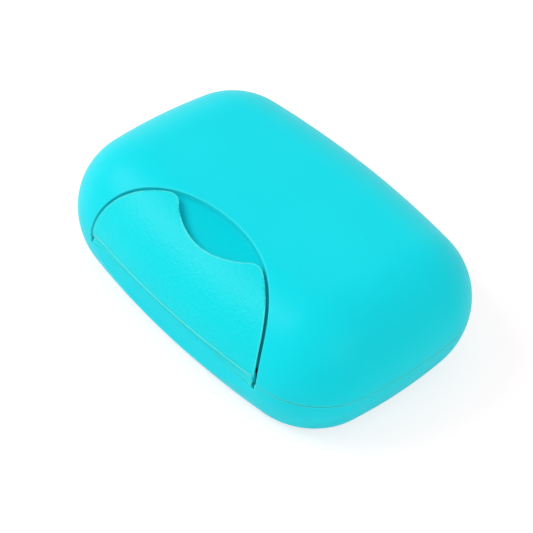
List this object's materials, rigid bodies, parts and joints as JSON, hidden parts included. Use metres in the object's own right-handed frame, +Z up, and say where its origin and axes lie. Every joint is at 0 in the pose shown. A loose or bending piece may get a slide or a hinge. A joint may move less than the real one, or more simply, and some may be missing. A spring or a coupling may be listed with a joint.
{
  "type": "travel soap box",
  "caption": "Domed rounded-rectangle travel soap box: tub and hinged lid, arched flush front latch with finger scoop, sealing ring and removable slotted drain tray.",
  "frame": {"origin": "centre of the case outline at the bottom of the flat foot", "axes": "+X along the length to the right seen from the latch, -Y towards the latch, +Z up through the lid"},
  "size_m": [0.115, 0.0843, 0.0378],
  "materials": {
    "case_plastic": "satin turquoise polypropylene with a fine moulded grain",
    "silicone": "translucent grey-white silicone",
    "tray_plastic": "satin white polypropylene",
    "pin_steel": "drawn stainless steel wire"
  },
  "bodies": {
    "base": {"base_shell": "case_plastic", "drain_tray": "tray_plastic", "lid_hinge_pins": "pin_steel", "latch_hinge_pin": "pin_steel"},
    "lid": {"lid_shell": "case_plastic", "sealing_ring": "silicone"},
    "latch": {"latch": "case_plastic"}
  },
  "joints": [
    {"name": "lid_hinge", "type": "hinge", "parent": "base", "child": "lid", "pos_m": [0, 0.0421, 0.0125], "axis": [-1, 0, 0], "range_deg": [0, 85]},
    {"name": "latch_hinge", "type": "hinge", "parent": "base", "child": "latch", "pos_m": [0, -0.0369, 0.015], "axis": [1, 0, 0], "range_deg": [0, 119]}
  ],
  "couplings": [
    {"joint": "latch_hinge", "follows": "lid_hinge", "ratio": 1.4}
  ]
}
